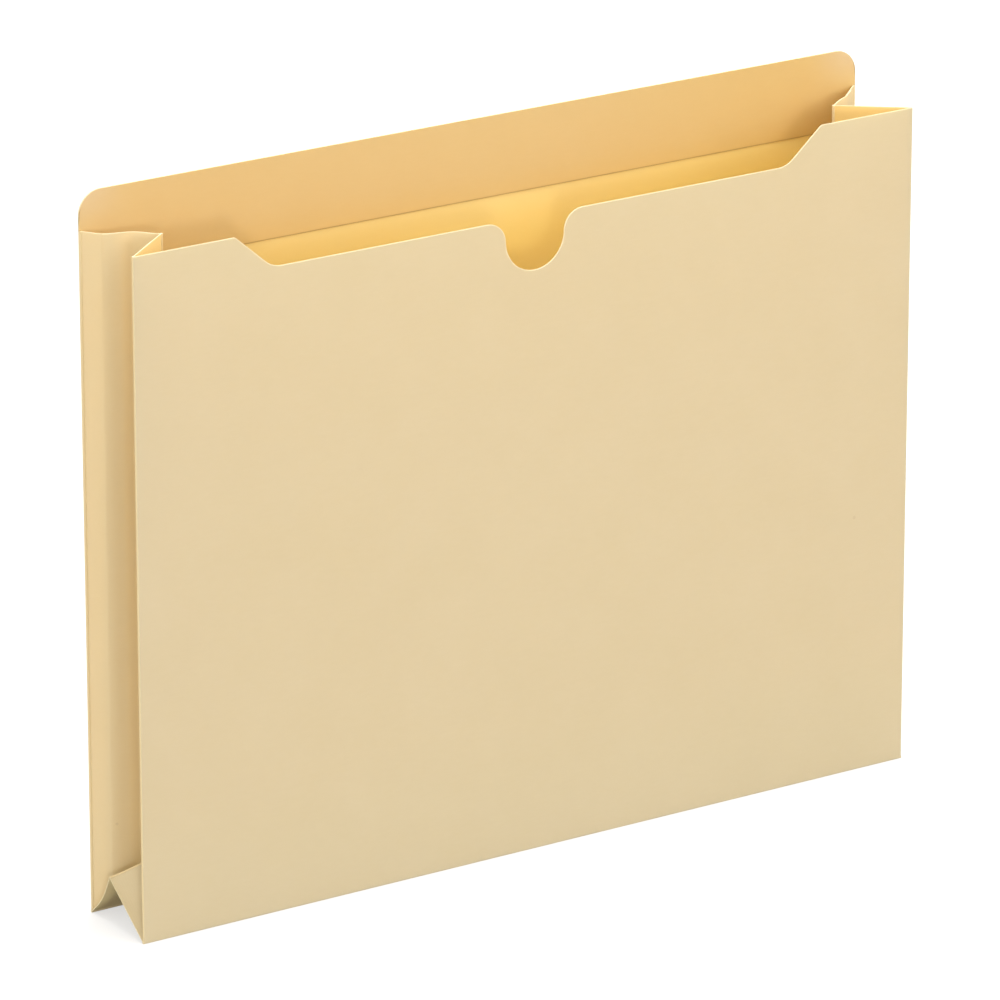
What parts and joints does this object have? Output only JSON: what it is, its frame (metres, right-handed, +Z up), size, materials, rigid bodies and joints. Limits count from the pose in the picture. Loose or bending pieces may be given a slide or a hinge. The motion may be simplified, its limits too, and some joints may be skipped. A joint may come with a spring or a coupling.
{
  "type": "file jacket",
  "caption": "Expanding manila file jacket: flat front and back panels joined by folding side and bottom gussets, open at the top, with a raised tab and a thumb notch.",
  "frame": {"origin": "under the middle of the jacket, on the surface that its bottom creases stand on", "axes": "+Z up towards the tab, +X along the width, -Y towards the front panel with the thumb notch"},
  "size_m": [0.2984, 0.033, 0.2413],
  "materials": {
    "panel_board": "uncoated manila board, matte",
    "side_board": "uncoated manila board, matte",
    "bottom_board": "uncoated manila board, matte",
    "tab_board": "uncoated manila board, matte",
    "crease_board": "crushed board along the creases, matte",
    "dry_glue": "dried clear glue"
  },
  "bodies": {
    "back": {"back_panel": "panel_board", "tab_inner_ply": "tab_board", "tab_glue": "dry_glue", "tab_fold": "tab_board", "left_rear_crease": "crease_board", "right_rear_crease": "crease_board", "bottom_rear_crease": "crease_board"},
    "left_rear_half": {"left_gusset_rear": "side_board", "left_glue_flap": "side_board", "left_seam_glue": "dry_glue", "left_inner_crease": "crease_board"},
    "left_front_half": {"left_gusset_front": "side_board"},
    "front": {"front_panel": "panel_board", "left_front_crease": "crease_board", "right_front_crease": "crease_board", "bottom_front_crease": "crease_board"},
    "right_rear_half": {"right_gusset_rear": "side_board", "right_glue_flap": "side_board", "right_seam_glue": "dry_glue", "right_inner_crease": "crease_board"},
    "right_front_half": {"right_gusset_front": "side_board"},
    "bottom_rear_half": {"bottom_gusset_rear": "bottom_board", "bottom_ridge_crease": "crease_board"},
    "bottom_front_half": {"bottom_gusset_front": "bottom_board"}
  },
  "joints": [
    {"name": "expansion_fold", "type": "hinge", "parent": "back", "child": "left_rear_half", "pos_m": [-0.14872, 0.016, 0], "axis": [0, 0, -1], "range_deg": [-36.53, 43.47]},
    {"name": "left_inner_fold", "type": "hinge", "parent": "left_rear_half", "child": "left_front_half", "pos_m": [-0.12897, 0, 0], "axis": [0, 0, 1], "range_deg": [-73.07, 86.93]},
    {"name": "right_rear_fold", "type": "hinge", "parent": "back", "child": "right_rear_half", "pos_m": [0.14872, 0.016, 0], "axis": [0, 0, 1], "range_deg": [-36.53, 43.47]},
    {"name": "right_inner_fold", "type": "hinge", "parent": "right_rear_half", "child": "right_front_half", "pos_m": [0.12897, 0, 0], "axis": [0, 0, 1], "range_deg": [-86.93, 73.07]},
    {"name": "bottom_rear_fold", "type": "hinge", "parent": "back", "child": "bottom_rear_half", "pos_m": [0, 0.016, 0.0005], "axis": [1, 0, 0], "range_deg": [-36.53, 43.47]},
    {"name": "bottom_ridge_fold", "type": "hinge", "parent": "bottom_rear_half", "child": "bottom_front_half", "pos_m": [0, 0, 0.02026], "axis": [1, 0, 0], "range_deg": [-86.93, 73.07]},
    {"name": "bottom_front_fold", "type": "hinge", "parent": "bottom_front_half", "child": "front", "pos_m": [0, -0.016, 0.0005], "axis": [1, 0, 0], "range_deg": [-36.53, 43.47]}
  ],
  "couplings": [
    {"joint": "left_inner_fold", "follows": "expansion_fold", "ratio": 2},
    {"joint": "right_rear_fold", "follows": "expansion_fold", "ratio": 1},
    {"joint": "right_inner_fold", "follows": "expansion_fold", "ratio": -2},
    {"joint": "bottom_rear_fold", "follows": "expansion_fold", "ratio": 1},
    {"joint": "bottom_ridge_fold", "follows": "expansion_fold", "ratio": -2},
    {"joint": "bottom_front_fold", "follows": "expansion_fold", "ratio": 1}
  ]
}
